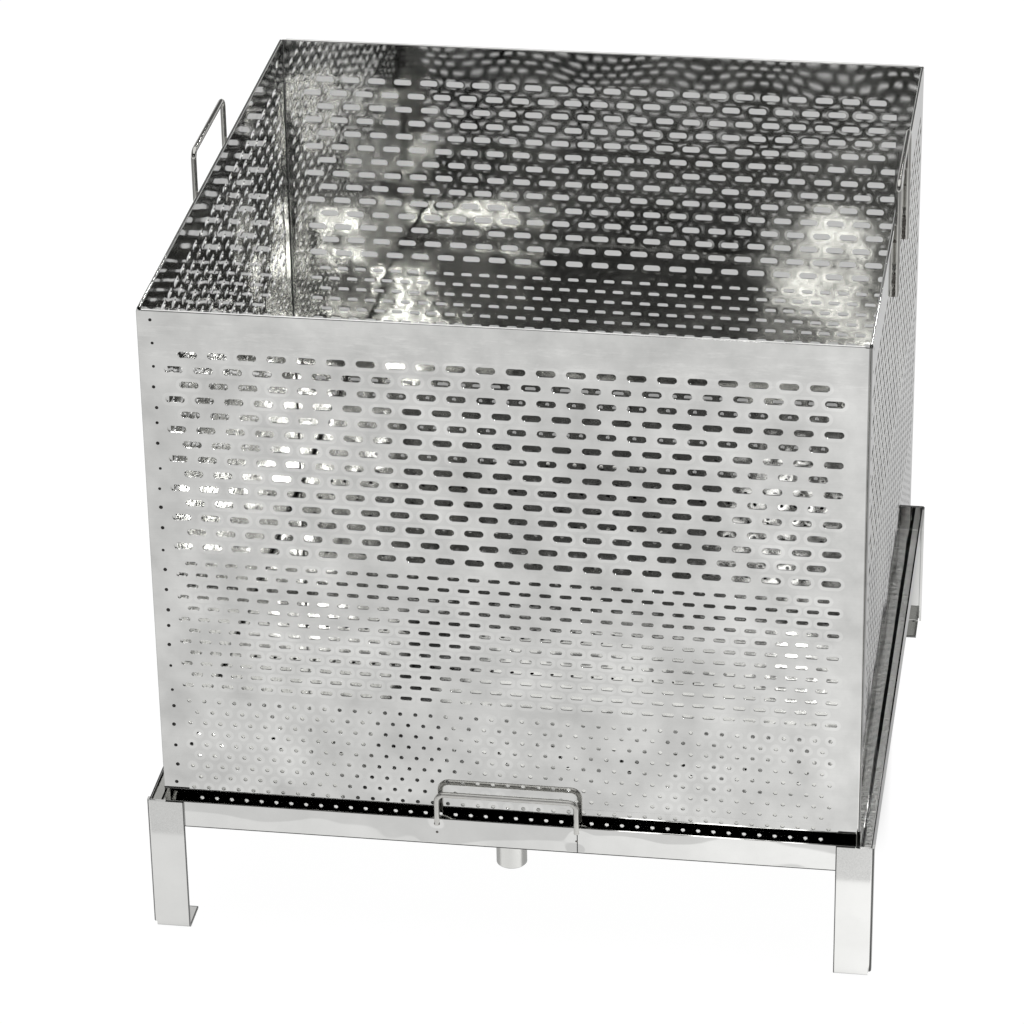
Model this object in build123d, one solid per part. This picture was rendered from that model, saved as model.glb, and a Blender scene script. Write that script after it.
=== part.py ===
import os

from build123d import *
from build123d.topology import SkipClean

# Wax melter: a square perforated basket that stands in a drain tray on four legs.
# Millimetres, +Z up, front towards -Y, origin on the ground under the middle of the tray.

# Basket walls
basket_width = 500.0
basket_sheet = 1.0
basket_height = 404.3
bend_outside = 2.0
lap_flange = 20.0
lap_corner = 5.0
hem_height = 9.0
hem_gap = 0.4
hem_relief = 3.0
hem_end = 2.0
wall_drain_gap = 3.0
wall_set_back = 0.5

# Holes in each wall, from the rim down: level of the first row below the rim, rows and their pitch,
# columns in the first row and their pitch, change of columns in every second row, size of a hole
long_slots = dict(first=32.6, rows=14, row_pitch=11.38, columns=22, pitch=20.52, stagger=1, size=(13.5, 5.0))
short_slots = dict(first=194.2, rows=12, row_pitch=8.88, columns=32, pitch=14.24, stagger=1, size=(8.5, 3.0))
round_holes = dict(first=304.9, rows=10, row_pitch=8.92, columns=43, pitch=10.84, stagger=-1, size=(3.0, 3.0))

# Basket floor
floor_height = 13.0
floor_corner = 6.0
floor_hole = 3.0
floor_pitch = 15.2
floor_margin = 18.0
corner_notch = 7.0
drain_notch = (24.0, 5.0)
drain_notch_count = 4

# Tray
basket_to_tray = 8.0
tray_sheet = 1.2
tray_wall = 21.6
tray_rim = 106.3
tray_bend_inside = 1.0

# Legs
leg_sheet = 1.5
leg_width = 27.0
leg_return = 6.0
leg_return_clear = 4.0
leg_bend_inside = 1.0

# Rod handles
rod = 4.0
rod_bend = 6.0
rod_end = 0.5
handle_span = 100.0
basket_handle_rise = 30.6
basket_handle_leg = 55.0
rod_flat = 0.25
tray_handle_rise = 20.2
tray_handle_slot = 5.0

# Drain spout
spout_outside = 22.0
spout_bore = 18.0
spout_neck = 20.0
spout_neck_clearance = 0.1
spout_drop = 23.0
spout_from_wall = 20.5
spout_edge = 0.5

# Derived levels and half sizes
tray_under = tray_rim - tray_wall
tray_floor = tray_under + tray_sheet
basket_rim = tray_floor + basket_height
wall_bottom = tray_floor + wall_drain_gap
floor_top = tray_floor + floor_height
hem_outside = basket_sheet + hem_gap / 2
wall_top = basket_rim - hem_outside
half = basket_width / 2
half_inside = half - basket_sheet
bend_inside = bend_outside - basket_sheet
tray_half_inside = half + basket_to_tray
tray_half = tray_half_inside + tray_sheet
leg_half = tray_half + leg_sheet


def span_box(x0, x1, y0, y1, z0, z1):
    block = Box(x1 - x0, y1 - y0, z1 - z0)
    return Pos((x0 + x1) / 2, (y0 + y1) / 2, (z0 + z1) / 2) * block


def hole_wire(x, z, length, height):
    """One punched hole in the XZ plane: round, or a slot with round ends."""
    r = height / 2
    reach = length / 2 - r
    plane = Plane(origin=(x, 0, z), x_dir=(1, 0, 0), z_dir=(0, -1, 0))
    if reach < 1e-6:
        return Wire([Edge.make_circle(r, plane)])
    left, right, up = -reach, reach, r
    points = [(left, up), (left - r, 0), (left, -up), (right, -up), (right + r, 0), (right, up)]
    p = [Vector(x + u, 0, z + v) for u, v in points]
    edges = [
        Edge.make_three_point_arc(p[0], p[1], p[2]),
        Edge.make_line(p[2], p[3]),
        Edge.make_three_point_arc(p[3], p[4], p[5]),
        Edge.make_line(p[5], p[0]),
    ]
    return Wire(edges)


def hole_rows(top, pattern):
    """Each row of a hole pattern as its level and its holes, downwards from level top."""
    rows = []
    for row in range(pattern["rows"]):
        z = top - pattern["first"] - row * pattern["row_pitch"]
        columns = pattern["columns"] + (row % 2) * pattern["stagger"]
        places = [(column - (columns - 1) / 2) * pattern["pitch"] for column in range(columns)]
        rows.append((z, [hole_wire(x, z, *pattern["size"]) for x in places]))
    return rows


def punched_sheet(x0, x1, z0, z1, rows):
    """A flat sheet in strips, one to each row of holes, so that no flat face carries many holes."""
    levels = [z1]
    for upper, lower in zip(rows, rows[1:]):
        levels.append((upper[0] + lower[0]) / 2)
    levels.append(z0)
    strips = []
    for row, top, bottom in zip(rows, levels, levels[1:]):
        corners = [(x0, 0, bottom), (x1, 0, bottom), (x1, 0, top), (x0, 0, top)]
        face = Face(Wire.make_polygon(corners, close=True), row[1])
        strips.append(Solid.extrude(face, Vector(0, basket_sheet, 0)))
    return strips


def join(pieces):
    """One solid from pieces that touch, with the borders between their flat faces kept."""
    with SkipClean():
        return pieces[0].fuse(*pieces[1:])


def make_wall():
    """The front wall. The other three are this one, turned about the vertical axis."""
    bend_centre = half_inside - bend_outside
    sheet_start = -(half - wall_set_back)
    rows = []
    for pattern in (long_slots, short_slots, round_holes):
        rows += hole_rows(basket_rim, pattern)
    strips = punched_sheet(sheet_start, bend_centre, wall_bottom, wall_top, rows)
    sheet = [Pos(0, -half, 0) * strip for strip in strips]

    # Bend at the right end, then the flange that lies behind the next wall
    bend_y = -half + bend_outside
    ring = Circle(bend_outside) - Circle(bend_inside)
    quarter = ring & (Pos(bend_outside / 2, -bend_outside / 2) * Rectangle(bend_outside, bend_outside))
    bend = extrude(Pos(bend_centre, bend_y, wall_bottom) * quarter, wall_top - wall_bottom, dir=(0, 0, 1))
    flange_top = basket_rim - hem_height - hem_relief
    flange_bottom = floor_top + hem_relief
    flange_end = -half + lap_flange
    flange_inside = half_inside - basket_sheet
    flange = span_box(flange_inside, half_inside, bend_y, flange_end, flange_bottom, flange_top)
    free_edges = flange.edges().filter_by(Axis.X).group_by(Axis.Y)[-1]
    flange = chamfer(free_edges, lap_corner)

    # Hem: the top edge folded inwards onto the wall
    fold_y = -half + hem_outside
    fold = Circle(hem_outside) - Circle(hem_gap / 2)
    fold &= Pos(0, hem_outside / 2) * Rectangle(2 * hem_outside, hem_outside)
    inner_leg = hem_height - hem_outside
    leaf_y = (hem_gap + basket_sheet) / 2
    fold += Pos(leaf_y, -inner_leg / 2) * Rectangle(basket_sheet, inner_leg)
    hem_start = -(half - bend_outside) + hem_end
    hem_stop = bend_centre - hem_end
    fold_plane = Plane(origin=(hem_start, fold_y, wall_top), x_dir=(0, 1, 0), z_dir=(1, 0, 0))
    hem = extrude(fold_plane * fold, hem_stop - hem_start, dir=(1, 0, 0))
    return join(sheet + bend.solids() + flange.solids() + hem.solids())


def make_floor():
    """A plate of round holes with its edges turned down, open at the corners, as feet."""
    holes_half = half_inside - floor_margin
    row_pitch = floor_pitch * 3**0.5 / 2
    steps = int(2 * holes_half / row_pitch)
    pattern = dict(
        first=holes_half - steps * row_pitch / 2,
        rows=steps + 1,
        row_pitch=row_pitch,
        columns=int(2 * holes_half / floor_pitch) + 1,
        pitch=floor_pitch,
        stagger=-1,
        size=(floor_hole, floor_hole),
    )
    plate_half = holes_half + floor_pitch / 2
    strips = punched_sheet(-plate_half, plate_half, -plate_half, plate_half, hole_rows(holes_half, pattern))
    plate = [Pos(0, 0, floor_top) * Rot(-90, 0, 0) * strip for strip in strips]

    outer = extrude(RectangleRounded(2 * half_inside, 2 * half_inside, floor_corner), floor_height)
    outer = Pos(0, 0, tray_floor) * outer
    outer = fillet(outer.faces().sort_by(Axis.Z)[-1].edges(), bend_outside)
    room = 2 * (half_inside - basket_sheet)
    inner = extrude(RectangleRounded(room, room, floor_corner - basket_sheet), floor_height - basket_sheet)
    inner = fillet(inner.faces().sort_by(Axis.Z)[-1].edges(), bend_inside)
    frame = outer - Pos(0, 0, tray_floor) * inner
    window = Box(2 * plate_half, 2 * plate_half, 4 * basket_sheet)
    frame -= Pos(0, 0, floor_top - basket_sheet / 2) * window

    # Open corners, and notches along the lower edges that let the wax through
    cuts = []
    flange_cut = floor_height - bend_outside
    reach = half_inside - corner_notch / 2
    for x in (-reach, reach):
        for y in (-reach, reach):
            cuts.append(Pos(x, y, tray_floor + flange_cut / 2) * Box(corner_notch, corner_notch, flange_cut))
    notch_width, notch_rise = drain_notch
    spacing = 2 * half_inside / drain_notch_count
    for index in range(drain_notch_count):
        along = (index - (drain_notch_count - 1) / 2) * spacing
        through = Box(notch_width, 2 * half, 2 * notch_rise)
        cuts.append(Pos(along, 0, tray_floor) * through)
        cuts.append(Pos(0, along, tray_floor) * Rot(0, 0, 90) * through)
    return join((frame - cuts).solids() + plate)


def make_rod(span, foot, top):
    """A U of round rod in the XZ plane, centred on X, from level foot up to the bar at level top."""
    side = span / 2
    corners = [(-side, 0, foot), (-side, 0, top), (side, 0, top), (side, 0, foot)]
    path = FilletPolyline(*corners, radius=rod_bend)
    bar = sweep(Plane(path @ 0, z_dir=path % 0) * Circle(rod / 2), path=path)
    ends = bar.faces().group_by(Axis.Z)[0].edges()
    return chamfer(ends, rod_end)


def make_basket_handle():
    """The right handle, with a flat along each leg where it is welded to the wall."""
    bar = make_rod(handle_span, basket_rim - basket_handle_leg, basket_rim + basket_handle_rise)
    bar = Pos(half + rod / 2 - rod_flat, 0, 0) * Rot(0, 0, 90) * bar
    return bar - span_box(half - rod, half, -handle_span, handle_span, 0, basket_rim)


def make_tray_handle():
    """The front handle. Its slit ends straddle the wall of the tray."""
    bar = make_rod(handle_span, tray_rim - tray_handle_slot, tray_rim + tray_handle_rise)
    bar = Pos(0, -(tray_half + tray_half_inside) / 2, 0) * bar
    return bar - span_box(-handle_span, handle_span, -tray_half, -tray_half_inside, 0, tray_rim)


def make_tray():
    outer = span_box(-tray_half, tray_half, -tray_half, tray_half, tray_under, tray_rim)
    outer = fillet(outer.edges().filter_by(Axis.Z), tray_bend_inside + tray_sheet)
    outer = fillet(outer.faces().sort_by(Axis.Z)[0].edges(), tray_bend_inside + tray_sheet)
    room = tray_half_inside
    inner = span_box(-room, room, -room, room, tray_floor, tray_rim + tray_wall)
    inner = fillet(inner.edges().filter_by(Axis.Z), tray_bend_inside)
    inner = fillet(inner.faces().sort_by(Axis.Z)[0].edges(), tray_bend_inside)
    outlet = Cylinder(spout_neck / 2 + spout_neck_clearance, 4 * tray_sheet)
    return outer - inner - Pos(0, spout_y, tray_floor) * outlet


def angle_profile(first, second, sheet, inside):
    """A bent sheet in section: legs along +X and +Y from an outer corner at the origin."""
    low = (Align.MIN, Align.MIN)
    profile = Rectangle(first, sheet, align=low) + Rectangle(sheet, second, align=low)
    profile = fillet(profile.vertices().sort_by_distance((0, 0, 0))[0], inside + sheet)
    return fillet(profile.vertices().sort_by_distance((sheet, sheet, 0))[0], inside)


def make_leg():
    """The front right leg: a strip with a narrow return round the corner and a foot bent inwards."""
    across = angle_profile(leg_width, leg_return, leg_sheet, leg_bend_inside)
    top_view = Plane(origin=(leg_half, -leg_half, leg_return_clear), x_dir=(-1, 0, 0), z_dir=(0, 0, -1))
    strip = extrude(top_view * across, tray_rim - leg_return_clear, dir=(0, 0, 1))
    down = angle_profile(leg_width, leg_width, leg_sheet, leg_bend_inside)
    corner = leg_half - leg_bend_inside - leg_sheet
    side_view = Plane(origin=(corner, -leg_half, 0), x_dir=(0, 1, 0), z_dir=(1, 0, 0))
    foot = extrude(side_view * down, corner - (leg_half - leg_width), dir=(-1, 0, 0))
    return strip + foot


def make_spout():
    body = Pos(0, 0, -spout_drop / 2) * Cylinder(spout_outside / 2, spout_drop)
    body = chamfer(body.faces().sort_by(Axis.Z)[0].edges(), spout_edge)
    body += Pos(0, 0, tray_sheet / 2) * Cylinder(spout_neck / 2, tray_sheet)
    body -= Cylinder(spout_bore / 2, 4 * spout_drop)
    return Pos(0, spout_y, tray_under) * body


spout_y = -(tray_half_inside - spout_from_wall)

wall = make_wall()
basket_handle = make_basket_handle()
tray_handle = make_tray_handle()
leg = make_leg()
leg_left = mirror(leg, about=Plane.YZ)
half_turn = Rot(0, 0, 180)

nodes = {
    "basket_front_panel": wall,
    "basket_right_panel": Rot(0, 0, 90) * wall,
    "basket_back_panel": half_turn * wall,
    "basket_left_panel": Rot(0, 0, 270) * wall,
    "basket_floor": make_floor(),
    "basket_handle_right": basket_handle,
    "basket_handle_left": half_turn * basket_handle,
    "tray_pan": make_tray(),
    "tray_handle_front": tray_handle,
    "tray_handle_rear": half_turn * tray_handle,
    "leg_front_right": leg,
    "leg_front_left": leg_left,
    "leg_rear_left": half_turn * leg,
    "leg_rear_right": half_turn * leg_left,
    "drain_spout": make_spout(),
}

os.makedirs("parts", exist_ok=True)
for name, shape in nodes.items():
    export_step(shape, f"parts/{name}.step", write_pcurves=False)
    print(name, len(shape.solids()), "solid", round(shape.volume / 1000, 1), "cm3")
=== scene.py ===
import math
import random

import bmesh
import bpy
from mathutils import Matrix, Vector


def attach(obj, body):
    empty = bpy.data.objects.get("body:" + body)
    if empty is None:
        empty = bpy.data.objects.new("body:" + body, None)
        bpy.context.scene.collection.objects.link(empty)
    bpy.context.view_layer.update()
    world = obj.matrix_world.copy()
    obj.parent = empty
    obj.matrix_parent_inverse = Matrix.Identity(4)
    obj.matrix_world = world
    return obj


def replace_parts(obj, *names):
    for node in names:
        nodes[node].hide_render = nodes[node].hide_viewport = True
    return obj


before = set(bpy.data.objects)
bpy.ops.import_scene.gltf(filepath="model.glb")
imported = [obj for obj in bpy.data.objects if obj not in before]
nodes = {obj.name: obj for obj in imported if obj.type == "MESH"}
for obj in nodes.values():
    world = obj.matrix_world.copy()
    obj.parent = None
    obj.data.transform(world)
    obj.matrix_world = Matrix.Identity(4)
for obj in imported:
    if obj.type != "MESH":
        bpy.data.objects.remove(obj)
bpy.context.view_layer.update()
mm = 0.001
print("frame loaded:", len(nodes), "nodes")


# colours are written as sRGB hex and turned to linear here
def linear(hexText):
    parts = [int(hexText[i:i + 2], 16) / 255 for i in (1, 3, 5)]
    return [p / 12.92 if p <= 0.04045 else ((p + 0.055) / 1.055) ** 2.4 for p in parts] + [1.0]


# adds a node with its settings; an input takes a value or another node's output,
# and the new node's own output comes back
def addNode(tree, kind, inputs=None, output=0, **settings):
    node = tree.nodes.new("ShaderNode" + kind)
    for name, value in settings.items():
        setattr(node, name, value)
    for name, value in (inputs or {}).items():
        if isinstance(value, bpy.types.NodeSocket):
            tree.links.new(value, node.inputs[name])
        else:
            node.inputs[name].default_value = value
    return node.outputs[output] if len(node.outputs) else node


def newMaterial(name):
    material = bpy.data.materials.new(name)
    material.use_nodes = True
    material.node_tree.nodes.clear()
    return material, material.node_tree


noiseLow, noiseHigh = 0.3, 0.7  # nearly all of a noise texture lies between these


# what every piece of steel has: clouds in the skin for tone and gloss,
# slack and ripples for height in metres
def steelBase(tree, look):
    place = addNode(tree, "TexCoord", output="Object")
    cloud = addNode(tree, "TexNoise", {
        "Vector": place, "Scale": 1 / look["cloudSize"], "Detail": 4.0, "Roughness": 0.55})
    wave = addNode(tree, "TexNoise", {
        "Vector": place, "Scale": 1 / look["waveSize"], "Detail": 1.0, "Roughness": 0.4})
    ripple = addNode(tree, "TexNoise", {
        "Vector": place, "Scale": 1 / look["rippleSize"], "Detail": 1.5})
    tone = addNode(tree, "MapRange", {
        "Value": cloud, "From Min": noiseLow, "From Max": noiseHigh,
        "To Min": 1 - look["cloudShare"], "To Max": 1 + look["cloudShare"]})
    rough = addNode(tree, "MapRange", {
        "Value": cloud, "From Min": noiseLow, "From Max": noiseHigh,
        "To Min": look["roughness"][0], "To Max": look["roughness"][1]})
    height = addNode(tree, "Math", {0: wave, 1: look["waveDepth"]}, operation="MULTIPLY")
    height = addNode(tree, "Math", {
        0: ripple, 1: look["rippleDepth"], 2: height}, operation="MULTIPLY_ADD")
    return place, tone, rough, height


# metal from a colour, a tone that multiplies it, a roughness and a height
def finishMetal(tree, steel, tone, rough, height):
    colour = addNode(tree, "Mix", {
        "Factor": 1.0, "A": linear(steel), "B": tone}, "Result", data_type="RGBA", blend_type="MULTIPLY")
    bump = addNode(tree, "Bump", {"Strength": 1.0, "Distance": 1.0, "Height": height})
    surface = addNode(tree, "BsdfPrincipled", {
        "Base Color": colour, "Metallic": 1.0, "Roughness": rough, "Normal": bump})
    addNode(tree, "OutputMaterial", {"Surface": surface})


# the three fields of holes in a wall, in metres; first is the level of the top row
rim = 490.2 * mm
punchedFields = [
    dict(first=rim - 32.6 * mm, rowPitch=11.38 * mm, lastRow=13, pitch=20.52 * mm,
         limit=10.5, limitStep=0.5, shift=0.5, shiftStep=-0.5, reach=4.25 * mm, radius=2.5 * mm),
    dict(first=rim - 194.2 * mm, rowPitch=8.88 * mm, lastRow=11, pitch=14.24 * mm,
         limit=15.5, limitStep=0.5, shift=0.5, shiftStep=-0.5, reach=2.75 * mm, radius=1.5 * mm),
    dict(first=rim - 304.9 * mm, rowPitch=8.92 * mm, lastRow=9, pitch=10.84 * mm,
         limit=21.0, limitStep=-0.5, shift=0.0, shiftStep=0.5, reach=0.0, radius=1.5 * mm),
]


# distance from the edge of the nearest hole of one field; every second row has one hole more or less
def holeDistance(tree, across, level, field):
    rowPitch, pitch = field["rowPitch"], field["pitch"]
    rowPlace = addNode(tree, "Math", {
        0: level, 1: -1 / rowPitch, 2: field["first"] / rowPitch}, operation="MULTIPLY_ADD")
    row = addNode(tree, "Math", {0: rowPlace}, operation="ROUND")
    row = addNode(tree, "Clamp", {"Value": row, "Min": 0.0, "Max": field["lastRow"]})
    odd = addNode(tree, "Math", {0: row, 1: 2.0}, operation="MODULO")
    shift = addNode(tree, "Math", {
        0: odd, 1: field["shiftStep"], 2: field["shift"]}, operation="MULTIPLY_ADD")
    limit = addNode(tree, "Math", {
        0: odd, 1: field["limitStep"], 2: field["limit"]}, operation="MULTIPLY_ADD")
    lower = addNode(tree, "Math", {0: limit, 1: -1.0}, operation="MULTIPLY")
    columnPlace = addNode(tree, "Math", {0: across, 1: 1 / pitch}, operation="MULTIPLY")
    column = addNode(tree, "Math", {0: columnPlace, 1: shift}, operation="SUBTRACT")
    column = addNode(tree, "Math", {0: column}, operation="ROUND")
    column = addNode(tree, "Math", {0: column, 1: shift}, operation="ADD")
    column = addNode(tree, "Clamp", {"Value": column, "Min": lower, "Max": limit})
    aside = addNode(tree, "Math", {0: columnPlace, 1: column}, operation="SUBTRACT")
    aside = addNode(tree, "Math", {0: aside}, operation="ABSOLUTE")
    aside = addNode(tree, "Math", {0: aside, 1: pitch, 2: -field["reach"]}, operation="MULTIPLY_ADD")
    aside = addNode(tree, "Math", {0: aside, 1: 0.0}, operation="MAXIMUM")
    above = addNode(tree, "Math", {0: rowPlace, 1: row}, operation="SUBTRACT")
    above = addNode(tree, "Math", {0: above, 1: rowPitch}, operation="MULTIPLY")
    line = addNode(tree, "CombineXYZ", {0: aside, 1: above})
    length = addNode(tree, "VectorMath", {0: line}, "Value", operation="LENGTH")
    return addNode(tree, "Math", {0: length, 1: field["radius"]}, operation="SUBTRACT")


wallLook = dict(
    steel="#dededc",            # cold-rolled stainless, a little warm
    cloudSize=36 * mm,          # soft clouds in the rolled skin
    cloudShare=0.15,
    grainWidth=0.9 * mm,        # rolling lines, drawn coarser than the real 0.1 mm so that they show
    grainLength=60 * mm,
    grainShare=0.05,
    ringWidth=2.9 * mm,         # painted highlight: a pale ring round each punched hole, in some places only
    ringFade=0.9 * mm,
    ringHighlight=0.10,
    ringPatch=70 * mm,
    ringPatchFrom=0.45,
    ringPatchTo=0.60,
    dishWidth=2.4 * mm,         # sheet pulled in at the hole's edge
    dishDepth=0.005 * mm,
    waveSize=90 * mm,           # slack in the thin sheet
    waveDepth=0.70 * mm,
    rippleSize=32 * mm,
    rippleDepth=0.045 * mm,
    roughness=(0.028, 0.050),
    edge=249.1 * mm,            # painted shade along the cut edge and the bend at the corners
    edgeFade=0.4 * mm,
    edgeShade=0.55,
    smearLow=450 * mm,          # lighter mottled smears under the rim
    smearHigh=486 * mm,
    smearFull=0.6,              # share of the band in which they are at full strength
    smearSize=(30 * mm, 6 * mm),
    smearFrom=0.50,
    smearTo=0.66,
    smearLight=0.11,
)


# Punched stainless sheet, cold rolled and bright: a slack mirror with soft clouds, fine rolling lines
# and a dish round each hole, with a painted highlight ring round it
def wallSteel(name, acrossAxis):
    look = wallLook
    material, tree = newMaterial(name)
    place, tone, rough, height = steelBase(tree, look)
    axes = addNode(tree, "SeparateXYZ", {0: place}).node.outputs
    across, level = axes[acrossAxis], axes["Z"]
    near = 1.0  # metres, farther than any hole
    for field in punchedFields:
        distance = holeDistance(tree, across, level, field)
        near = addNode(tree, "Math", {0: distance, 1: near}, operation="MINIMUM")
    ring = addNode(tree, "MapRange", {
        "Value": near, "From Min": look["ringWidth"] - look["ringFade"], "From Max": look["ringWidth"],
        "To Min": 1.0, "To Max": 0.0}, interpolation_type="SMOOTHSTEP")
    patch = addNode(tree, "TexNoise", {"Vector": place, "Scale": 1 / look["ringPatch"], "Detail": 1.0})
    patch = addNode(tree, "MapRange", {
        "Value": patch, "From Min": look["ringPatchFrom"], "From Max": look["ringPatchTo"]})
    ring = addNode(tree, "Math", {0: ring, 1: patch}, operation="MULTIPLY")
    dish = addNode(tree, "MapRange", {
        "Value": near, "From Min": 0.0, "From Max": look["dishWidth"],
        "To Min": 1.0, "To Max": 0.0}, interpolation_type="SMOOTHSTEP")
    height = addNode(tree, "Math", {
        0: dish, 1: -look["dishDepth"], 2: height}, operation="MULTIPLY_ADD")
    along, high = 1 / look["grainLength"], 1 / look["grainWidth"]
    stretch = addNode(tree, "Mapping", {"Vector": place, "Scale": (along, along, high)})
    grain = addNode(tree, "TexNoise", {"Vector": stretch, "Scale": 1.0, "Detail": 2.0})
    tone = addNode(tree, "Math", {
        0: grain, 1: look["grainShare"], 2: tone}, operation="MULTIPLY_ADD")
    # painted highlight: the ring lightens the colour round the holes
    tone = addNode(tree, "Math", {0: ring, 1: look["ringHighlight"], 2: tone}, operation="MULTIPLY_ADD")

    # lighter mottled smears in a band under the rim
    middle = (look["smearLow"] + look["smearHigh"]) / 2
    halfBand = look["smearHigh"] - middle
    band = addNode(tree, "Math", {0: level, 1: middle}, operation="SUBTRACT")
    band = addNode(tree, "Math", {0: band}, operation="ABSOLUTE")
    band = addNode(tree, "MapRange", {
        "Value": band, "From Min": halfBand, "From Max": look["smearFull"] * halfBand})
    along, high = [1 / size for size in look["smearSize"]]
    stretch = addNode(tree, "Mapping", {"Vector": place, "Scale": (along, along, high)})
    smear = addNode(tree, "TexNoise", {
        "Vector": stretch, "Scale": 1.0, "Detail": 6.0, "Roughness": 0.75})
    smear = addNode(tree, "MapRange", {
        "Value": smear, "From Min": look["smearFrom"], "From Max": look["smearTo"]})
    smear = addNode(tree, "Math", {0: smear, 1: band}, operation="MULTIPLY")
    tone = addNode(tree, "Math", {
        0: smear, 1: look["smearLight"], 2: tone}, operation="MULTIPLY_ADD")

    # painted shade at the corner edges
    corner = addNode(tree, "Math", {0: across}, operation="ABSOLUTE")
    corner = addNode(tree, "MapRange", {
        "Value": corner, "From Min": look["edge"], "From Max": look["edge"] + look["edgeFade"],
        "To Min": 1.0, "To Max": 1 - look["edgeShade"]})
    tone = addNode(tree, "Math", {0: tone, 1: corner}, operation="MULTIPLY")
    finishMetal(tree, look["steel"], tone, rough, height)
    return material


floorLook = dict(
    steel="#dededc", cloudSize=55 * mm, cloudShare=0.05, waveSize=110 * mm, waveDepth=0.40 * mm,
    rippleSize=24 * mm, rippleDepth=0.03 * mm, roughness=(0.028, 0.050),
    burrPitch=10.88 * mm, burrShift=1.58 * mm, burrHalf=1.6 * mm,
    burrFront=-240.3 * mm, burrDeep=2.1 * mm, burrSlope=0.445, burrRough=0.35,
    bendFrom=246.0 * mm, bendShade=0.60,
)


# The basket's punched floor, as the walls, with a row of dull burrs behind the lowest holes of the front
# wall: they are tipped to the front, so the lamp above shows in them as white dots through those holes.
# The bend along its edges is drawn dark, a painted shade
def floorSteel(name):
    look = floorLook
    material, tree = newMaterial(name)
    place, tone, rough, height = steelBase(tree, look)
    across, front = addNode(tree, "SeparateXYZ", {0: place}).node.outputs[:2]
    strip = addNode(tree, "Math", {
        0: front, 1: look["burrFront"], 2: look["burrDeep"]}, operation="COMPARE")
    pitch = look["burrPitch"]
    column = addNode(tree, "Math", {
        0: across, 1: 1 / pitch, 2: look["burrShift"] / pitch - 0.5}, operation="MULTIPLY_ADD")
    nearest = addNode(tree, "Math", {0: column}, operation="ROUND")
    burr = addNode(tree, "Math", {
        0: column, 1: nearest, 2: look["burrHalf"] / pitch}, operation="COMPARE")
    burr = addNode(tree, "Math", {0: burr, 1: strip}, operation="MULTIPLY")
    rough = addNode(tree, "Mix", {"Factor": burr, "A": rough, "B": look["burrRough"]}, "Result")
    rise = look["burrSlope"]
    slope = addNode(tree, "Math", {
        0: front, 1: rise, 2: -look["burrFront"] * rise}, operation="MULTIPLY_ADD")
    height = addNode(tree, "Math", {0: burr, 1: slope, 2: height}, operation="MULTIPLY_ADD")
    # painted shade along the bend at the floor's edges
    wide = addNode(tree, "Math", {0: across}, operation="ABSOLUTE")
    deep = addNode(tree, "Math", {0: front}, operation="ABSOLUTE")
    bend = addNode(tree, "Math", {0: wide, 1: deep}, operation="MAXIMUM")
    bend = addNode(tree, "Math", {0: bend, 1: look["bendFrom"]}, operation="GREATER_THAN")
    dark = addNode(tree, "Math", {0: bend, 1: -look["bendShade"], 2: 1.0}, operation="MULTIPLY_ADD")
    tone = addNode(tree, "Math", {0: tone, 1: dark}, operation="MULTIPLY")
    finishMetal(tree, look["steel"], tone, rough, height)
    return material


trayLook = dict(
    steel="#e3e3e1", cloudSize=30 * mm, cloudShare=0.05, waveSize=90 * mm, waveDepth=0.3 * mm,
    rippleSize=17 * mm, rippleDepth=0.04 * mm, roughness=(0.020, 0.050),
    buckleSize=(62 * mm, 40 * mm), buckleDepth=4.0 * mm, lean=0.040, buckleFrom=258.4 * mm,
    footAcross=50 * mm, footLevel=95 * mm, footSpread=9 * mm, footDish=0.9 * mm,
    seamAcross=50.6 * mm, seamHalf=0.35 * mm, seamFront=-257.0 * mm, seamTop=102.3 * mm,
    lowerEdge=86.4 * mm, outside=258.1 * mm, rimFrom=105.5 * mm, rimAcross=258.2 * mm, seamAndShadeDark=0.92,
    gapFrom=248.5 * mm, gutterFrom=251.4 * mm, gutterTo=258.0 * mm, gutterTop=86.5 * mm,
    gutterRough=0.40, gutterGrain=2.6 * mm, gutterDepth=1.6 * mm,
)


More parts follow.
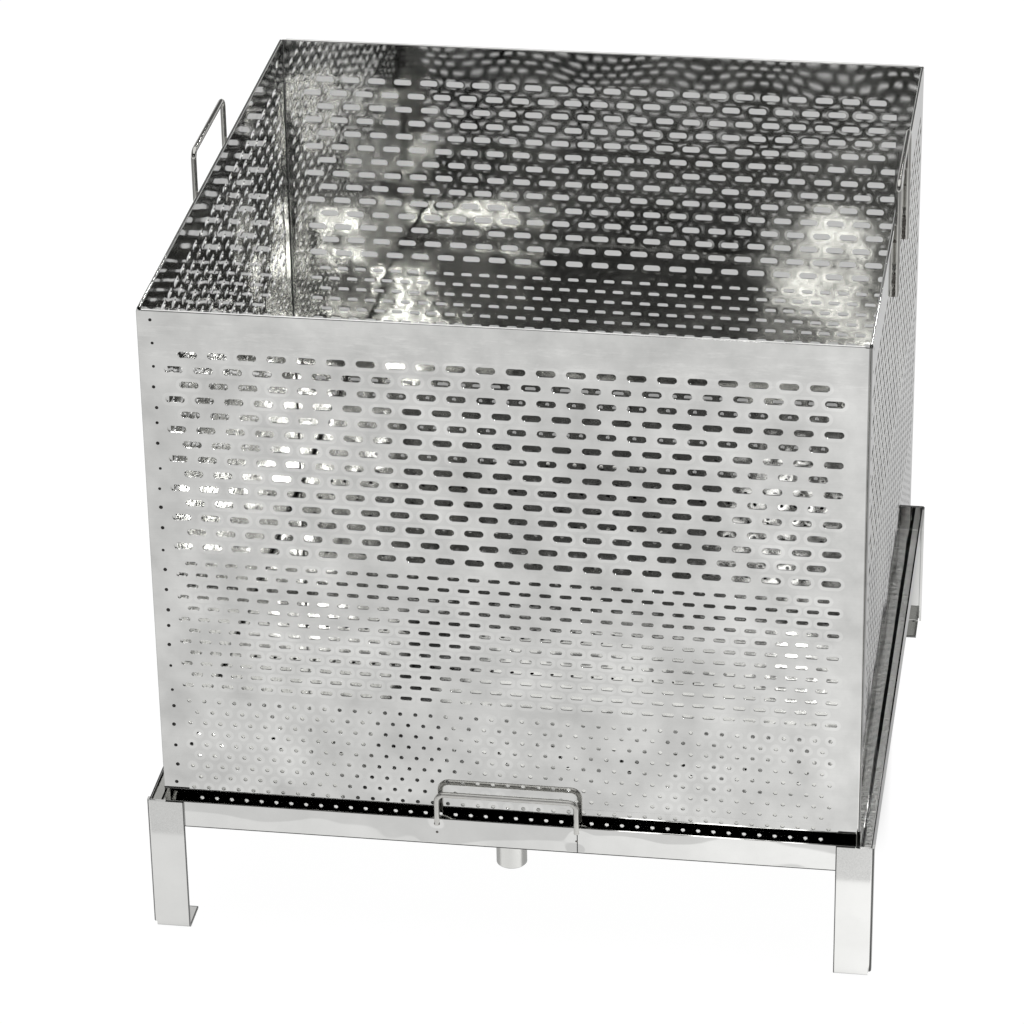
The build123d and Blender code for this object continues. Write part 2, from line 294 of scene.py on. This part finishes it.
# The tray's folded sheet, bright rolled: a soft mirror, buckled and leaning out along front and back,
# pulled in where the handle feet are welded, with the butt seam of its rim beside the right foot
# and a floor gone dull and grainy where wax runs down beside the basket
def traySteel(name):
    look = trayLook
    material, tree = newMaterial(name)
    place, tone, rough, height = steelBase(tree, look)
    across, front, level = addNode(tree, "SeparateXYZ", {0: place}).node.outputs
    wide = addNode(tree, "Math", {0: across}, operation="ABSOLUTE")
    deep = addNode(tree, "Math", {0: front}, operation="ABSOLUTE")
    spread = look["footSpread"]
    aside = addNode(tree, "Math", {
        0: wide, 1: 1 / spread, 2: -look["footAcross"] / spread}, operation="MULTIPLY_ADD")
    above = addNode(tree, "Math", {
        0: level, 1: 1 / spread, 2: -look["footLevel"] / spread}, operation="MULTIPLY_ADD")
    away = addNode(tree, "CombineXYZ", {0: aside, 1: above})
    square = addNode(tree, "VectorMath", {0: away, 1: away}, "Value", operation="DOT_PRODUCT")
    pull = addNode(tree, "Math", {0: square, 1: -1.0}, operation="MULTIPLY")
    pull = addNode(tree, "Math", {0: pull}, operation="EXPONENT")
    height = addNode(tree, "Math", {
        0: pull, 1: -look["footDish"], 2: height}, operation="MULTIPLY_ADD")
    along, high = [1 / size for size in look["buckleSize"]]
    stretch = addNode(tree, "Mapping", {"Vector": place, "Scale": (along, 0.0, high)})
    buckle = addNode(tree, "TexNoise", {"Vector": stretch, "Scale": 1.0, "Detail": 0.5})
    buckle = addNode(tree, "Math", {0: buckle, 1: look["buckleDepth"]}, operation="MULTIPLY")
    buckle = addNode(tree, "Math", {0: level, 1: look["lean"], 2: buckle}, operation="MULTIPLY_ADD")
    outer = addNode(tree, "Math", {0: deep, 1: look["buckleFrom"]}, operation="GREATER_THAN")
    height = addNode(tree, "Math", {0: outer, 1: buckle, 2: height}, operation="MULTIPLY_ADD")

    # dark lines: the rim's butt seam, a real dark joint; painted shade along the lower bend and in the
    # shadow gap at the foot of the basket's right wall; the top of the rim on the sides drawn dark
    seam = addNode(tree, "Math", {
        0: across, 1: look["seamAcross"], 2: look["seamHalf"]}, operation="COMPARE")
    for value, limit in ((front, look["seamFront"]), (level, look["seamTop"])):
        inside = addNode(tree, "Math", {0: value, 1: limit}, operation="LESS_THAN")
        seam = addNode(tree, "Math", {0: seam, 1: inside}, operation="MULTIPLY")
    outside = addNode(tree, "Math", {0: wide, 1: deep}, operation="MAXIMUM")
    outside = addNode(tree, "Math", {0: outside, 1: look["outside"]}, operation="GREATER_THAN")
    lower = addNode(tree, "Math", {0: level, 1: look["lowerEdge"]}, operation="LESS_THAN")
    lower = addNode(tree, "Math", {0: lower, 1: outside}, operation="MULTIPLY")
    onRim = addNode(tree, "Math", {0: level, 1: look["rimFrom"]}, operation="GREATER_THAN")
    onSide = addNode(tree, "Math", {0: wide, 1: look["rimAcross"]}, operation="GREATER_THAN")
    onRim = addNode(tree, "Math", {0: onRim, 1: onSide}, operation="MULTIPLY")
    gap = addNode(tree, "Math", {0: across, 1: look["gapFrom"]}, operation="GREATER_THAN")
    for value, limit in ((across, look["gutterFrom"]), (level, look["gutterTop"])):
        inside = addNode(tree, "Math", {0: value, 1: limit}, operation="LESS_THAN")
        gap = addNode(tree, "Math", {0: gap, 1: inside}, operation="MULTIPLY")
    line = seam
    for other in (lower, onRim, gap):
        line = addNode(tree, "Math", {0: line, 1: other}, operation="MAXIMUM")
    dark = addNode(tree, "Math", {0: line, 1: -look["seamAndShadeDark"], 2: 1.0}, operation="MULTIPLY_ADD")
    tone = addNode(tree, "Math", {0: tone, 1: dark}, operation="MULTIPLY")

    # crinkled film of wax on the gutter floor at the right of the basket
    gutter = addNode(tree, "Math", {0: across, 1: look["gutterFrom"]}, operation="GREATER_THAN")
    for value, limit in ((across, look["gutterTo"]), (level, look["gutterTop"])):
        inside = addNode(tree, "Math", {0: value, 1: limit}, operation="LESS_THAN")
        gutter = addNode(tree, "Math", {0: gutter, 1: inside}, operation="MULTIPLY")
    rough = addNode(tree, "Mix", {"Factor": gutter, "A": rough, "B": look["gutterRough"]}, "Result")
    film = addNode(tree, "TexNoise", {"Vector": place, "Scale": 1 / look["gutterGrain"], "Detail": 2.0})
    film = addNode(tree, "Math", {0: film, 1: look["gutterDepth"]}, operation="MULTIPLY")
    height = addNode(tree, "Math", {0: gutter, 1: film, 2: height}, operation="MULTIPLY_ADD")
    finishMetal(tree, look["steel"], tone, rough, height)
    return material


legLook = dict(
    steel="#e3e3e1", cloudSize=30 * mm, cloudShare=0.03, waveSize=60 * mm, waveDepth=0.12 * mm,
    rippleSize=14 * mm, rippleDepth=0.015 * mm, roughness=(0.03, 0.08),
    cornerEdge=259.3 * mm, freeEdge=234.5 * mm, sole=1.2 * mm, edgeShade=0.78,
    upperShadeFrom=78 * mm, upperShadeTo=81 * mm, upperShadeGrain=0.6 * mm, upperShadeDark=0.105, upperShadeLight=0.035,
)


# Folded leg sheet, bright below, the upper part drawn darker and grainy, a painted shade,
# and painted shade along its edges and sole
def legSteel(name):
    look = legLook
    material, tree = newMaterial(name)
    place, tone, rough, height = steelBase(tree, look)
    sizes = addNode(tree, "VectorMath", {0: place}, operation="ABSOLUTE")
    wide, deep, level = addNode(tree, "SeparateXYZ", {0: sizes}).node.outputs
    # painted shade along the corner edges, the free edges and the sole
    inner = addNode(tree, "Math", {0: wide, 1: deep}, operation="MINIMUM")
    corner = addNode(tree, "Math", {0: inner, 1: look["cornerEdge"]}, operation="GREATER_THAN")
    free = addNode(tree, "Math", {0: inner, 1: look["freeEdge"]}, operation="LESS_THAN")
    sole = addNode(tree, "Math", {0: level, 1: look["sole"]}, operation="LESS_THAN")
    edge = addNode(tree, "Math", {0: corner, 1: free}, operation="MAXIMUM")
    edge = addNode(tree, "Math", {0: edge, 1: sole}, operation="MAXIMUM")
    dark = addNode(tree, "Math", {0: edge, 1: -look["edgeShade"], 2: 1.0}, operation="MULTIPLY_ADD")
    tone = addNode(tree, "Math", {0: tone, 1: dark}, operation="MULTIPLY")
    # painted shade: the upper part drawn darker, with a grain
    upperShade = addNode(tree, "MapRange", {
        "Value": level, "From Min": look["upperShadeFrom"], "From Max": look["upperShadeTo"]})
    grain = addNode(tree, "TexNoise", {"Vector": place, "Scale": 1 / look["upperShadeGrain"], "Detail": 2.0})
    grain = addNode(tree, "MapRange", {
        "Value": grain, "From Min": noiseLow, "From Max": noiseHigh,
        "To Min": -look["upperShadeDark"], "To Max": look["upperShadeLight"]})
    tone = addNode(tree, "Math", {0: upperShade, 1: grain, 2: tone}, operation="MULTIPLY_ADD")
    finishMetal(tree, look["steel"], tone, rough, height)
    return material


spoutLook = dict(
    steel="#e4e4e1", cloudSize=12 * mm, cloudShare=0.03, waveSize=30 * mm, waveDepth=0.02 * mm,
    rippleSize=6 * mm, rippleDepth=0.004 * mm, roughness=(0.20, 0.26),
    ringPitch=0.8 * mm, ringDepth=0.004 * mm, lip=62.3 * mm, lipShade=0.5,
)


# Turned pipe: fine rings round it, drawn coarser than the real 0.15 mm feed so that they show,
# and a painted shade at its lower end
def spoutSteel(name):
    look = spoutLook
    material, tree = newMaterial(name)
    place, tone, rough, height = steelBase(tree, look)
    level = addNode(tree, "SeparateXYZ", {0: place}, "Z")
    rings = addNode(tree, "Math", {0: level, 1: 2 * math.pi / look["ringPitch"]}, operation="MULTIPLY")
    rings = addNode(tree, "Math", {0: rings}, operation="SINE")
    height = addNode(tree, "Math", {
        0: rings, 1: look["ringDepth"], 2: height}, operation="MULTIPLY_ADD")
    # painted shade: the lower end drawn darker
    lip = addNode(tree, "Math", {0: level, 1: look["lip"]}, operation="LESS_THAN")
    dark = addNode(tree, "Math", {0: lip, 1: -look["lipShade"], 2: 1.0}, operation="MULTIPLY_ADD")
    tone = addNode(tree, "Math", {0: tone, 1: dark}, operation="MULTIPLY")
    finishMetal(tree, look["steel"], tone, rough, height)
    return material


# Drawn stainless rod: faintly uneven along its length, bright on the basket and rubbed dull on the tray
rodLook = dict(
    steel="#c2c1bd", cloudSize=9 * mm, cloudShare=0.05, waveSize=40 * mm, waveDepth=0.02 * mm,
    rippleSize=5 * mm, rippleDepth=0.006 * mm, roughness=(0.09, 0.15),
)
gripLook = dict(rodLook, steel="#d2d1cd", roughness=(0.36, 0.44))

# Weld metal left as it cooled: dull grey grains, darkened by heat, nearly black at the spot welds
weldLook = dict(
    steel="#6a6662", cloudSize=1.6 * mm, cloudShare=0.5, waveSize=4 * mm, waveDepth=0.10 * mm,
    rippleSize=1.0 * mm, rippleDepth=0.06 * mm, roughness=(0.30, 0.50),
)
spotLook = dict(weldLook, steel="#3a3938")


# rod or weld metal, with nothing drawn on it
def plainSteel(name, look):
    material, tree = newMaterial(name)
    tone, rough, height = steelBase(tree, look)[1:]
    finishMetal(tree, look["steel"], tone, rough, height)
    return material


wallAcrossX = wallSteel("punched cold-rolled stainless sheet, front and back", "X")
wallAcrossY = wallSteel("punched cold-rolled stainless sheet, sides", "Y")
basketFloor = floorSteel("punched cold-rolled stainless sheet, floor")
trayMetal = traySteel("folded bright-rolled stainless sheet, tray")
legMetal = legSteel("folded bright-rolled stainless sheet, legs")
spoutMetal = spoutSteel("turned stainless pipe")
handleMetal = plainSteel("drawn stainless rod, basket", rodLook)
gripMetal = plainSteel("drawn stainless rod, tray", gripLook)
weldMetal = plainSteel("raw weld bead", weldLook)
spotMetal = plainSteel("burnt spot weld", spotLook)
for name, material in {
    "basket_front_panel": wallAcrossX,
    "basket_back_panel": wallAcrossX,
    "basket_right_panel": wallAcrossY,
    "basket_left_panel": wallAcrossY,
    "basket_floor": basketFloor,
    "tray_pan": trayMetal,
    "leg_front_right": legMetal,
    "leg_front_left": legMetal,
    "leg_rear_left": legMetal,
    "leg_rear_right": legMetal,
    "drain_spout": spoutMetal,
}.items():
    nodes[name].data.materials.clear()
    nodes[name].data.materials.append(material)
print("materials done")


# object from a bmesh, smooth, riding on a body
def addPiece(name, bm, material, body):
    bmesh.ops.recalc_face_normals(bm, faces=bm.faces)
    mesh = bpy.data.meshes.new(name)
    bm.to_mesh(mesh)
    bm.free()
    mesh.materials.append(material)
    mesh.shade_smooth()
    piece = bpy.data.objects.new(name, mesh)
    bpy.context.scene.collection.objects.link(piece)
    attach(piece, body)
    return piece


# adds one bmesh to another, moved into place, and frees it
def addTo(target, source, place):
    bmesh.ops.transform(source, matrix=place, verts=source.verts)
    mesh = bpy.data.meshes.new("part")
    source.to_mesh(mesh)
    source.free()
    target.from_mesh(mesh)
    bpy.data.meshes.remove(mesh)


rodShape = dict(radius=2.0 * mm, span=100 * mm, bend=6.0 * mm, sides=24, bendSteps=10,
                endRound=0.5 * mm, endSteps=3)


# a U of round rod in the XZ plane: a disc drawn up, round, across, round and down
def bentRod(foot, top):
    shape = rodShape
    side = shape["span"] / 2
    bend = shape["bend"]
    bm = bmesh.new()
    bmesh.ops.create_circle(bm, cap_ends=True, segments=shape["sides"], radius=shape["radius"],
                            matrix=Matrix.Translation((-side, 0, foot)))
    first = bm.faces[:][0]

    def straight(faces, move):
        made = bmesh.ops.extrude_face_region(bm, geom=faces)["geom"]
        points = [g for g in made if isinstance(g, bmesh.types.BMVert)]
        bmesh.ops.translate(bm, verts=points, vec=move)
        passed = [f for f in faces if f.is_valid and f is not first]
        bmesh.ops.delete(bm, geom=passed, context="FACES_ONLY")
        return [g for g in made if isinstance(g, bmesh.types.BMFace)]

    def round90(faces, centre):
        geom = faces + [e for f in faces for e in f.edges] + [v for f in faces for v in f.verts]
        made = bmesh.ops.spin(bm, geom=geom, cent=centre, axis=(0, 1, 0), angle=math.pi / 2,
                              steps=shape["bendSteps"], use_duplicate=False)["geom_last"]
        return [g for g in made if isinstance(g, bmesh.types.BMFace)]

    end = straight([first], (0, 0, top - bend - foot))
    end = round90(end, (-side + bend, 0, top - bend))
    end = straight(end, (2 * (side - bend), 0, 0))
    end = round90(end, (side - bend, 0, top - bend))
    end = straight(end, (0, 0, -(top - bend - foot)))
    rims = [e for f in (first, end[0]) for e in f.edges]
    bmesh.ops.bevel(bm, geom=rims, offset=shape["endRound"], segments=shape["endSteps"], profile=0.5,
                    affect="EDGES", material=-1)
    return bm


def turned(degrees):
    return Matrix.Rotation(math.radians(degrees), 4, "Z")


basketHandle = dict(foot=435.2 * mm, top=520.8 * mm, out=251.75 * mm)
for name, turn, node in (
    ("lift_handle_right", 90, "basket_handle_right"),
    ("lift_handle_left", 270, "basket_handle_left"),
):
    rod = bentRod(basketHandle["foot"], basketHandle["top"])
    place = turned(turn) @ Matrix.Translation((0, -basketHandle["out"], 0))
    bmesh.ops.transform(rod, matrix=place, verts=rod.verts)
    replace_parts(addPiece(name, rod, handleMetal, "basket"), node)

trayHandle = dict(foot=101.3 * mm, top=126.5 * mm, out=258.6 * mm)
for name, turn, node in (
    ("tray_grip_front", 0, "tray_handle_front"),
    ("tray_grip_rear", 180, "tray_handle_rear"),
):
    rod = bentRod(trayHandle["foot"], trayHandle["top"])
    place = turned(turn) @ Matrix.Translation((0, -trayHandle["out"], 0))
    bmesh.ops.transform(rod, matrix=place, verts=rod.verts)
    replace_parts(addPiece(name, rod, gripMetal, "tray"), node)
print("handles done")


# spot welds down the lap at the left end of each wall: a small lip round a dent
spotWelds = dict(
    count=24, top=482 * mm, step=15.9 * mm, fromCorner=10.5 * mm, wall=250 * mm, proud=0.01 * mm,
    radius=1.3 * mm, smallest=0.8, largest=1.15, sides=12,
    lipShare=0.25, lip=0.10 * mm, dentShare=0.3, dent=0.05 * mm,
    jitter=2.6 * mm, jitterAcross=2.6 * mm / 3, seed=7,
)
draw = random.Random(spotWelds["seed"])
welds = bmesh.new()
for turn in (0, 90, 180, 270):
    for index in range(spotWelds["count"]):
        spot = bmesh.new()
        size = spotWelds["radius"] * draw.uniform(spotWelds["smallest"], spotWelds["largest"])
        bmesh.ops.create_circle(spot, cap_ends=True, segments=spotWelds["sides"], radius=size)
        bmesh.ops.reverse_faces(spot, faces=[f for f in spot.faces if f.normal.z < 0])
        bmesh.ops.inset_region(spot, faces=spot.faces[:], thickness=spotWelds["lipShare"] * size,
                               depth=spotWelds["lip"])
        flat = [f for f in spot.faces if len(f.verts) > 4]
        bmesh.ops.inset_region(spot, faces=flat, thickness=spotWelds["dentShare"] * size,
                               depth=-spotWelds["dent"])
        x = -spotWelds["wall"] + spotWelds["fromCorner"] + draw.uniform(-1, 1) * spotWelds["jitterAcross"]
        z = spotWelds["top"] - index * spotWelds["step"] + draw.uniform(-1, 1) * spotWelds["jitter"]
        place = Matrix.Translation((x, -spotWelds["wall"] - spotWelds["proud"], z))
        addTo(welds, spot, turned(turn) @ place @ Matrix.Rotation(math.pi / 2, 4, "X"))
addPiece("seam_spot_welds", welds, spotMetal, "basket")


lumpSpread = (0.85, 1.15)  # sizes of a bead's lumps, as shares of the size given


# a row of overlapping lumps of weld metal along a line, each a squashed ball of uneven size
def weldBead(target, start, end, count, size, place, draw):
    for index in range(count):
        ball = bmesh.new()
        bmesh.ops.create_icosphere(ball, subdivisions=2, radius=1.0)
        at = Vector(start).lerp(Vector(end), index / max(count - 1, 1))
        scale = Matrix.Diagonal([s * draw.uniform(*lumpSpread) for s in size] + [1.0])
        addTo(target, ball, place @ Matrix.Translation(at) @ scale)


# beads on both sides of each basket handle leg, at its foot, and one tack under the rim
handleBeads = dict(
    wall=250 * mm, leg=50 * mm, low=437 * mm, high=452 * mm, count=6, beside=2.3 * mm,
    size=(1.1 * mm, 0.9 * mm, 1.9 * mm),
    tack=478 * mm, tackOut=0.6 * mm, tackSize=(2.4 * mm, 1.6 * mm, 1.3 * mm), seed=3,
)
draw = random.Random(handleBeads["seed"])
for name, turn in (("handle_welds_right", 90), ("handle_welds_left", 270)):
    beads = bmesh.new()
    for leg in (-handleBeads["leg"], handleBeads["leg"]):
        for beside in (-handleBeads["beside"], handleBeads["beside"]):
            start = (leg + beside, -handleBeads["wall"], handleBeads["low"])
            end = (leg + beside, -handleBeads["wall"], handleBeads["high"])
            weldBead(beads, start, end, handleBeads["count"], handleBeads["size"], turned(turn), draw)
        tack = (leg, -handleBeads["wall"] - handleBeads["tackOut"], handleBeads["tack"])
        weldBead(beads, tack, tack, 1, handleBeads["tackSize"], turned(turn), draw)
    addPiece(name, beads, weldMetal, "basket")

# nubs of weld where the tray handle's feet clip over the rim, with a small flat dot of weld metal below
# each
trayNubs = dict(
    wall=259.2 * mm, leg=50 * mm, level=102.6 * mm, size=(2.2 * mm, 1.1 * mm, 1.7 * mm),
    mark=95.5 * mm, markSize=(0.9 * mm, 0.25 * mm, 0.9 * mm), seed=5,
)
draw = random.Random(trayNubs["seed"])
for name, turn in (("tray_grip_welds_front", 0), ("tray_grip_welds_rear", 180)):
    nubs = bmesh.new()
    for leg in (-trayNubs["leg"], trayNubs["leg"]):
        for level, size in (("level", "size"), ("mark", "markSize")):
            at = (leg, -trayNubs["wall"], trayNubs[level])
            weldBead(nubs, at, at, 1, trayNubs[size], turned(turn), draw)
    addPiece(name, nubs, weldMetal, "tray")

# fillet weld round the spout under the tray: a triangle spun round the pipe, then made uneven
spoutRing = dict(y=-237.5 * mm, pipe=10.9 * mm, under=84.8 * mm, leg=2.2 * mm, steps=48,
                 waves=17, uneven=0.22 * mm)
ring = bmesh.new()
for a, b in ((0.0, 0.0), (spoutRing["leg"], 0.0), (0.0, -spoutRing["leg"])):
    ring.verts.new((spoutRing["pipe"] + a, spoutRing["y"], spoutRing["under"] + b))
ring.faces.new(ring.verts[:])
bmesh.ops.spin(ring, geom=ring.verts[:] + ring.edges[:] + ring.faces[:], cent=(0, spoutRing["y"], 0),
               axis=(0, 0, 1), angle=2 * math.pi, steps=spoutRing["steps"], use_merge=True,
               use_duplicate=False)
bmesh.ops.delete(ring, geom=[f for f in ring.faces if len(f.verts) == 3], context="FACES_ONLY")
for point in ring.verts:
    angle = math.atan2(point.co.y - spoutRing["y"], point.co.x)
    lift = spoutRing["uneven"] * math.sin(spoutRing["waves"] * angle)
    point.co += Vector((math.cos(angle), math.sin(angle), 0)) * lift
addPiece("spout_weld", ring, weldMetal, "tray")
print("welds done")


# places are in metres on the ground, each pair from where a part of it starts to where it is full
groundLook = dict(
    size=16.0, paper="#f4f4f3", seen=1.08,
    shadowShare=0.10,               # share of the paper that takes light and shadow
    # painted light that the steel mirrors, a glowing pool, from left to right: far in front, and near on
    # the paper
    across=(-0.02, 0.26), far=(0.775, 0.90), near=(0.92, 1.25), paperEdge=(-0.388, -0.382),
    # painted shadow in it to the sides, behind and under the object
    side=0.35, sideFrom=(0.50, 0.85), back=0.55, backFrom=(0.45, 0.90),
    under=0.45, underFrom=(0.272, 0.235),
    # painted shadow in it at the right of the object, from front to back
    right=(0.42, 0.60), rightAlong=(0.0, 0.7), rightFrom=(0.2585, 0.262), rightFront=(-0.272, -0.268),
    # painted shadow: grey ground behind the object, with slanting sides
    behind="#bdbdbc", close="#8c8c8b", closeTo=(0.62, 0.86), rightSlant=0.0564, leftSlant=0.2576,
    greyRight=(0.256, 0.240), greyLeft=(-0.302, -0.285), greyEnd=(-0.502, -0.485),
    greyFront=(-0.10, 0.05), greyBack=(1.45, 1.38),
)


# Matt white paper under the object on a pale floor: white to the eye with a faint shadow and a painted
# grey shadow behind the object, and for the steel a glowing painted pool of light in front that falls off
# into painted shadow
def studioGround(name):
    look = groundLook
    material, tree = newMaterial(name)
    place = addNode(tree, "TexCoord", output="Object")
    x, y = addNode(tree, "SeparateXYZ", {0: place}).node.outputs[:2]
    wide = addNode(tree, "Math", {0: x}, operation="ABSOLUTE")
    deep = addNode(tree, "Math", {0: y}, operation="ABSOLUTE")
    far, near, right = [addNode(tree, "MapRange", {
        "Value": axis, "From Min": look[span][0], "From Max": look[span][1],
        "To Min": look[part][0], "To Max": look[part][1]})
        for part, axis, span in (("far", x, "across"), ("near", x, "across"), ("right", y, "rightAlong"))]
    onPaper, atSide, behind, underWide, underDeep = [addNode(tree, "MapRange", {
        "Value": axis, "From Min": look[span][0], "From Max": look[span][1]},
        interpolation_type="SMOOTHSTEP")
        for axis, span in ((y, "paperEdge"), (wide, "sideFrom"), (y, "backFrom"),
                           (wide, "underFrom"), (deep, "underFrom"))]
    under = addNode(tree, "Math", {0: underWide, 1: underDeep}, operation="MULTIPLY")
    rightLine = addNode(tree, "Math", {0: y, 1: look["rightSlant"], 2: x}, operation="MULTIPLY_ADD")
    leftLine = addNode(tree, "Math", {0: y, 1: look["leftSlant"], 2: x}, operation="MULTIPLY_ADD")
    beside, shaded = 1.0, 1.0
    for axis, span in ((x, "rightFrom"), (y, "rightFront")):
        edge = addNode(tree, "MapRange", {
            "Value": axis, "From Min": look[span][0], "From Max": look[span][1]})
        beside = addNode(tree, "Math", {0: edge, 1: beside}, operation="MULTIPLY")
    for axis, span in ((rightLine, "greyRight"), (leftLine, "greyLeft"), (x, "greyEnd"),
                       (y, "greyFront"), (y, "greyBack")):
        edge = addNode(tree, "MapRange", {
            "Value": axis, "From Min": look[span][0], "From Max": look[span][1]})
        shaded = addNode(tree, "Math", {0: edge, 1: shaded}, operation="MULTIPLY")

    # painted pool of light and painted shadows that the steel mirrors, laid over each other
    mirrored = far
    for share, value in ((onPaper, near), (atSide, look["side"]), (behind, look["back"]),
                         (under, look["under"]), (beside, right)):
        mirrored = addNode(tree, "Mix", {"Factor": share, "A": mirrored, "B": value}, "Result")

    # what the eye sees: white, and a painted grey shadow behind the object, where it shows through the
    # back wall's slots
    close = addNode(tree, "MapRange", {
        "Value": y, "From Min": look["closeTo"][0], "From Max": look["closeTo"][1]})
    paintedShadow = addNode(tree, "Mix", {
        "Factor": close, "A": linear(look["close"]), "B": linear(look["behind"])},
        "Result", data_type="RGBA")
    white = [look["seen"]] * 3 + [1.0]
    seen = addNode(tree, "Mix", {"Factor": shaded, "A": white, "B": paintedShadow}, "Result", data_type="RGBA")

    rays = addNode(tree, "LightPath").node.outputs
    colour = addNode(tree, "Mix", {
        "Factor": rays["Is Camera Ray"], "A": mirrored, "B": seen}, "Result", data_type="RGBA")
    glow = addNode(tree, "Emission", {"Color": colour, "Strength": 1.0})
    paper = addNode(tree, "BsdfDiffuse", {"Color": linear(look["paper"])})
    direct = addNode(tree, "Math", {
        0: rays["Is Camera Ray"], 1: rays["Is Glossy Ray"]}, operation="MAXIMUM")
    direct = addNode(tree, "Math", {0: direct, 1: rays["Is Transmission Ray"]}, operation="MAXIMUM")
    direct = addNode(tree, "Math", {0: direct, 1: 1 - look["shadowShare"]}, operation="MULTIPLY")
    mix = addNode(tree, "MixShader", {0: direct, 1: paper, 2: glow})
    addNode(tree, "OutputMaterial", {"Surface": mix})
    return material


ground = bmesh.new()
bmesh.ops.create_grid(ground, x_segments=4, y_segments=4, size=groundLook["size"] / 2)
groundMesh = bpy.data.meshes.new("studio_ground")
ground.to_mesh(groundMesh)
ground.free()
groundMesh.materials.append(studioGround("white paper on a pale floor"))
groundPiece = bpy.data.objects.new("studio_ground", groundMesh)
bpy.context.scene.collection.objects.link(groundPiece)

# lamps: place, width and height of the face, its brightness. One wide box overhead lights the object.
# The steel mirrors the rest: reflectors and bulbs on two stands by the camera, a long soft box above
# them, and far behind a reflector, two bulbs and a card
lamps = dict(
    overheadBox=dict(place=(0.0, 0.4, 2.6), size=(4.4, 4.4), face=1.15),
    reflectorRight=dict(place=(0.58, -2.97, 1.74), size=(0.18, 0.44), face=0.45),
    reflectorLeft=dict(place=(-0.10, -2.97, 1.80), size=(0.28, 0.40), face=0.3),
    softBox=dict(place=(0.02, -2.97, 2.24), size=(1.40, 0.34), face=1.2),
    reflectorBehind=dict(place=(0.54, 2.71, 1.90), size=(0.36, 0.30), face=0.9),
    cardBehind=dict(place=(-0.99, 2.70, 1.96), size=(0.34, 0.30), face=0.55),
    bulbBehind=dict(place=(0.50, 2.70, 1.86), size=(0.07, 0.07), face=45.0),
    bulbFarBehind=dict(place=(0.66, 2.70, 1.98), size=(0.06, 0.06), face=45.0),
)
boxes = ("overheadBox", "softBox")
bulbLine = -2.96
bulbs = (   # across, height, size and brightness: the right stand, the left one, the top bulb of each
    (0.60, 1.53, 0.080, 11.0), (0.585, 1.60, 0.070, 12.0), (0.60, 1.81, 0.080, 10.0),
    (0.58, 1.86, 0.075, 10.0), (0.43, 1.60, 0.055, 17.0), (0.435, 1.655, 0.060, 18.0),
    (0.258, 1.71, 0.065, 14.0), (0.445, 1.945, 0.055, 17.0), (0.43, 1.965, 0.045, 16.0),
    (-0.12, 1.70, 0.14, 0.9), (-0.15, 1.765, 0.15, 1.8), (-0.10, 1.775, 0.12, 1.3),
    (-0.17, 1.90, 0.16, 1.8), (-0.11, 1.93, 0.12, 1.6),
    (0.43, 2.03, 0.055, 12.0), (-0.12, 2.04, 0.055, 10.0),
)
for index, (x, z, size, face) in enumerate(bulbs):
    lamps["bulb%d" % index] = dict(place=(x, bulbLine, z), size=(size, size), face=face)
aim = Vector((0.0, 0.0, 0.3))
for name, lamp in lamps.items():
    light = bpy.data.lights.new(name, "AREA")
    light.shape = "RECTANGLE" if name in boxes else "ELLIPSE"
    light.size, light.size_y = lamp["size"]
    light.energy = lamp["face"] * math.pi * lamp["size"][0] * lamp["size"][1]
    if light.shape == "ELLIPSE":
        light.energy *= math.pi / 4
    holder = bpy.data.objects.new(name, light)
    holder.location = lamp["place"]
    holder.rotation_euler = (aim - Vector(lamp["place"])).to_track_quat("-Z", "Y").to_euler()
    bpy.context.scene.collection.objects.link(holder)

# dim room: grey behind, darker in front and above, so that the inside of the basket stays dark, paler
# towards the horizon, and a low white backdrop all round, which the eye and the steel see; the spans are
# parts of a direction of length 1, from where a shade starts to where it is full
room = dict(
    front="#343434", behind="#5a5a5a", behindSpan=(-0.5, 0.5), zenith="#2c2c2c", zenithSpan=(0.45, 0.75),
    horizon="#b0b0b0", horizonSpan=(0.30, 0.10), backdrop="#ffffff", backdropSpan=(0.15, 0.12),
)
world = bpy.data.worlds.new("dim room")
bpy.context.scene.world = world
world.use_nodes = True
tree = world.node_tree
tree.nodes.clear()
toward = addNode(tree, "TexCoord", output="Generated")
back, up = addNode(tree, "SeparateXYZ", {0: toward}).node.outputs[1:]
rays = addNode(tree, "LightPath").node.outputs
seen = addNode(tree, "Math", {
    0: rays["Is Camera Ray"], 1: rays["Is Glossy Ray"]}, operation="MAXIMUM")
seen = addNode(tree, "Math", {0: seen, 1: rays["Is Transmission Ray"]}, operation="MAXIMUM")
shade = linear(room["front"])
for part, axis in (("behind", back), ("zenith", up), ("horizon", up), ("backdrop", up)):
    start, full = room[part + "Span"]
    share = addNode(tree, "MapRange", {"Value": axis, "From Min": start, "From Max": full})
    if part == "backdrop":
        share = addNode(tree, "Math", {0: seen, 1: share}, operation="MULTIPLY")
    shade = addNode(tree, "Mix", {
        "Factor": share, "A": shade, "B": linear(room[part])}, "Result", data_type="RGBA")
glow = addNode(tree, "Background", {"Color": shade, "Strength": 1.0})
addNode(tree, "OutputWorld", {"Surface": glow})

view = dict(place=(0.42608, -2.8745, 1.74886), turn=(62.2623, 0.8516, 8.6395), lens=154.329,
            sensor=36.0, nearest=0.05)
camera = bpy.data.cameras.new("photo_view")
camera.lens = view["lens"]
camera.sensor_width = view["sensor"]
camera.clip_start = view["nearest"]
cameraHolder = bpy.data.objects.new("photo_view", camera)
cameraHolder.location = view["place"]
cameraHolder.rotation_euler = [math.radians(a) for a in view["turn"]]
bpy.context.scene.collection.objects.link(cameraHolder)
bpy.context.scene.camera = cameraHolder
bpy.context.scene.view_settings.view_transform = "Standard"
print("stage done")
